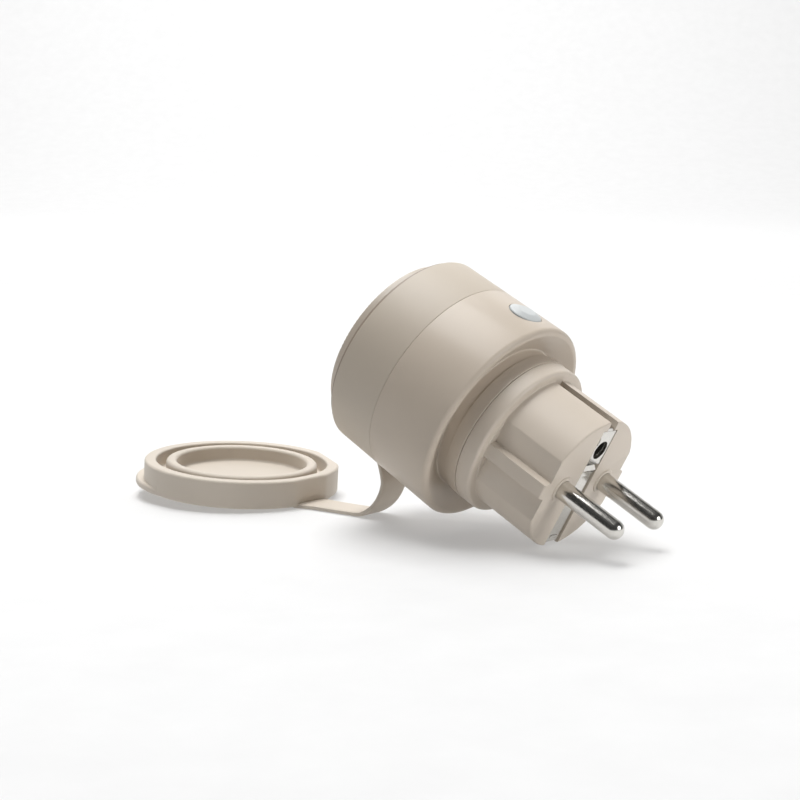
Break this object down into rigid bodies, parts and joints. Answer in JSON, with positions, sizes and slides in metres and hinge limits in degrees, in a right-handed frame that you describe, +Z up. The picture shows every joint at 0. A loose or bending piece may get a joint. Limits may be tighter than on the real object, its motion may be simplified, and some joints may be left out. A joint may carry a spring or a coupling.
{
  "type": "smart plug",
  "caption": "Round pass-through smart plug with two pins, a rear socket with shutter, a top button and a sealing lid on a strap.",
  "frame": {"origin": "on the ground under the middle of the part's bounding box", "axes": "+X from the lid towards the pins along the ground, +Y to the far side, +Z up; the plug's axis lies in the plane y = 0 and slopes down 28.11 degrees towards the pins"},
  "size_m": [0.1608, 0.055, 0.0681],
  "materials": {
    "front_casing": "smooth moulded",
    "rear_casing": "fine matte",
    "plug_insert": "fine matte",
    "soft_rubber": "matte",
    "dark_seal": "matte",
    "nickel": "satin nickel plate",
    "contact_brass": "bare",
    "screw_steel": "plain",
    "button_plastic": "translucent",
    "inner_plastic": "matte",
    "board_green": "lacquered",
    "relay_case": "moulded",
    "chip_black": "moulded",
    "can_aluminium": "sleeved",
    "varistor_blue": "dipped",
    "light_white": "moulded",
    "spring_steel": "plain"
  },
  "bodies": {
    "housing": {"front_shell": "front_casing", "rear_shell": "rear_casing", "shell_gasket": "dark_seal", "collar_seal": "dark_seal", "plug_body": "plug_insert", "pin_live": "nickel", "pin_neutral": "nickel", "plug_earth_strip": "nickel", "earth_hole_sleeve": "nickel", "socket_cup": "plug_insert", "cup_seal": "dark_seal", "cup_screws": "screw_steel", "socket_earth_clips": "nickel", "contact_carrier": "inner_plastic", "shutter_spring": "spring_steel", "socket_contact_live": "contact_brass", "socket_contact_neutral": "contact_brass", "main_board": "board_green", "relay": "relay_case", "board_chips": "chip_black", "bulk_capacitors": "can_aluminium", "power_transformer": "chip_black", "varistor": "varistor_blue", "fuse": "light_white", "wireless_module": "can_aluminium", "busbar_live": "contact_brass", "busbar_neutral": "contact_brass", "earth_link": "contact_brass", "button_board": "board_green", "tact_switch": "chip_black", "status_led": "light_white", "strap_anchor": "soft_rubber"},
    "button": {"button_cap": "button_plastic"},
    "shutter": {"shutter_rotor": "rear_casing"},
    "lid": {"lid_cap": "soft_rubber", "lid_seal": "soft_rubber", "strap_tail": "soft_rubber", "strap_loop": "soft_rubber"}
  },
  "joints": [
    {"name": "lid_swing", "type": "hinge", "parent": "housing", "child": "lid", "pos_m": [-0.00898, 0, 0.00851], "axis": [0, 1, 0], "range_deg": [0, 114.21], "deforming": ["strap_loop"]},
    {"name": "button_press", "type": "slide", "parent": "housing", "child": "button", "axis": [-0.4706, -0.0501, -0.8809], "range_m": [0, 0.0005], "stiffness_N_per_m": 300, "springref_m": -0.0005},
    {"name": "shutter_turn", "type": "hinge", "parent": "housing", "child": "shutter", "pos_m": [0.02441, 0, 0.03648], "axis": [0.882, 0, -0.4712], "range_deg": [0, 50], "stiffness_Nm_per_rad": 0.002, "springref_deg": -28.65}
  ]
}
